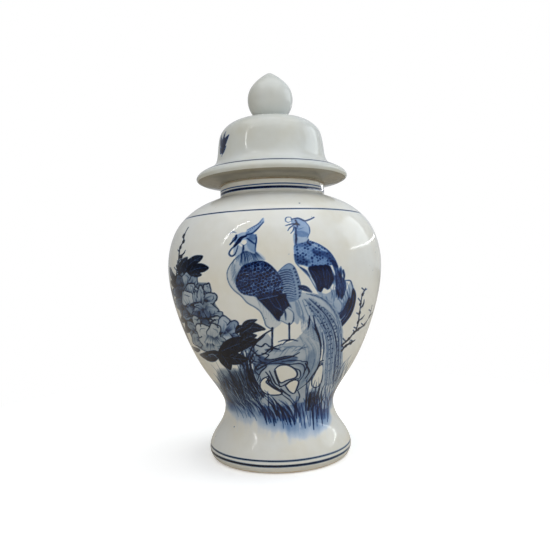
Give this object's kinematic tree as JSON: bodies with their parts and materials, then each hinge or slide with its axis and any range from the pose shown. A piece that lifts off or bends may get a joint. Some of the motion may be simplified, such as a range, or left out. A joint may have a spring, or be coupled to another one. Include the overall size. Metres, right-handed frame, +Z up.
{
  "type": "ginger jar",
  "caption": "Baluster ginger jar with waisted foot, round belly and short neck, and a domed brimmed lid with a pointed bud knob that lifts off.",
  "frame": {"origin": "on the surface that the jar stands on, under the middle of the foot ring", "axes": "+Z up along the axis of revolution, -Y towards the painted front, +X to the right of the painted front"},
  "size_m": [0.2496, 0.2496, 0.45],
  "materials": {
    "body_glaze": "clear glaze over white porcelain with cobalt blue painting, glossy",
    "foot_glaze": "clear glossy glaze with cobalt rings, bare clay on the standing ring",
    "lid_glaze": "clear glossy glaze with a cobalt ring on the brim",
    "bare_porcelain": "unglazed fired clay, matte"
  },
  "bodies": {
    "jar": {"jar_foot": "foot_glaze", "jar_lower_body": "body_glaze", "jar_upper_body": "body_glaze", "jar_neck": "body_glaze"},
    "lid": {"lid_dome": "lid_glaze", "lid_collar": "bare_porcelain", "lid_finial": "lid_glaze"}
  },
  "joints": [
    {"name": "lid_lift", "type": "slide", "parent": "jar", "child": "lid", "axis": [0, 0, 1], "range_m": [0, 0.12]}
  ]
}
